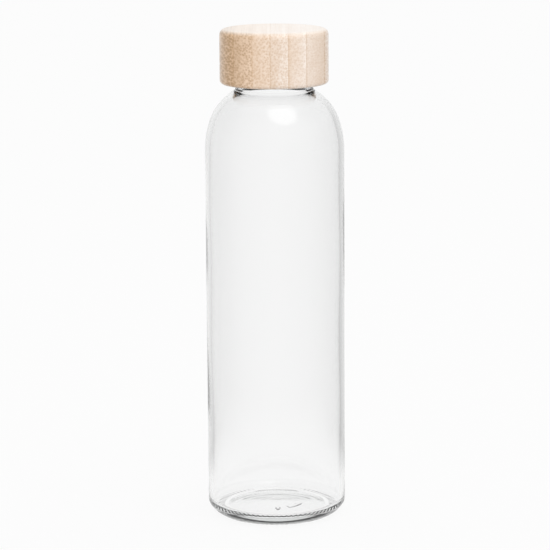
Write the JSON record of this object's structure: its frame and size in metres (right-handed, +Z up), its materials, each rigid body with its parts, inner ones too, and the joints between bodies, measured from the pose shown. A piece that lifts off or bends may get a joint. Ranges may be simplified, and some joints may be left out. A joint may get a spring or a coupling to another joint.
{
  "type": "glass water bottle",
  "caption": "Tall clear glass drinking bottle with a rounded shoulder, a screw neck and a laminated bamboo screw cap with a liner and a seal.",
  "frame": {"origin": "centre of the ring that the bottle stands on", "axes": "+Z up along the bottle's axis; the cap's glue lines are parallel to Y; -Y is the side that faces the viewer"},
  "size_m": [0.065, 0.065, 0.2307],
  "materials": {
    "clear_glass": "polished",
    "bamboo": "satin",
    "white_plastic": "satin",
    "silicone": "satin"
  },
  "bodies": {
    "bottle": {"glass_bottle": "clear_glass"},
    "seal": {"sealing_ring": "silicone"},
    "cap": {"bamboo_strip_1": "bamboo", "bamboo_strip_2": "bamboo", "bamboo_strip_3": "bamboo", "bamboo_strip_4": "bamboo", "bamboo_strip_5": "bamboo", "bamboo_strip_6": "bamboo", "bamboo_strip_7": "bamboo", "thread_insert": "white_plastic"}
  },
  "joints": [
    {"name": "cap_rise", "type": "slide", "parent": "bottle", "child": "seal", "axis": [0, 0, 1], "range_m": [0, 0.02118]},
    {"name": "cap_turn", "type": "hinge", "parent": "seal", "child": "cap", "pos_m": [0, 0, 0.2], "axis": [0, 0, 1], "range_deg": [0, 1800]}
  ],
  "couplings": [
    {"joint": "cap_rise", "follows": "cap_turn", "m_per_rad": 0.0006737}
  ]
}
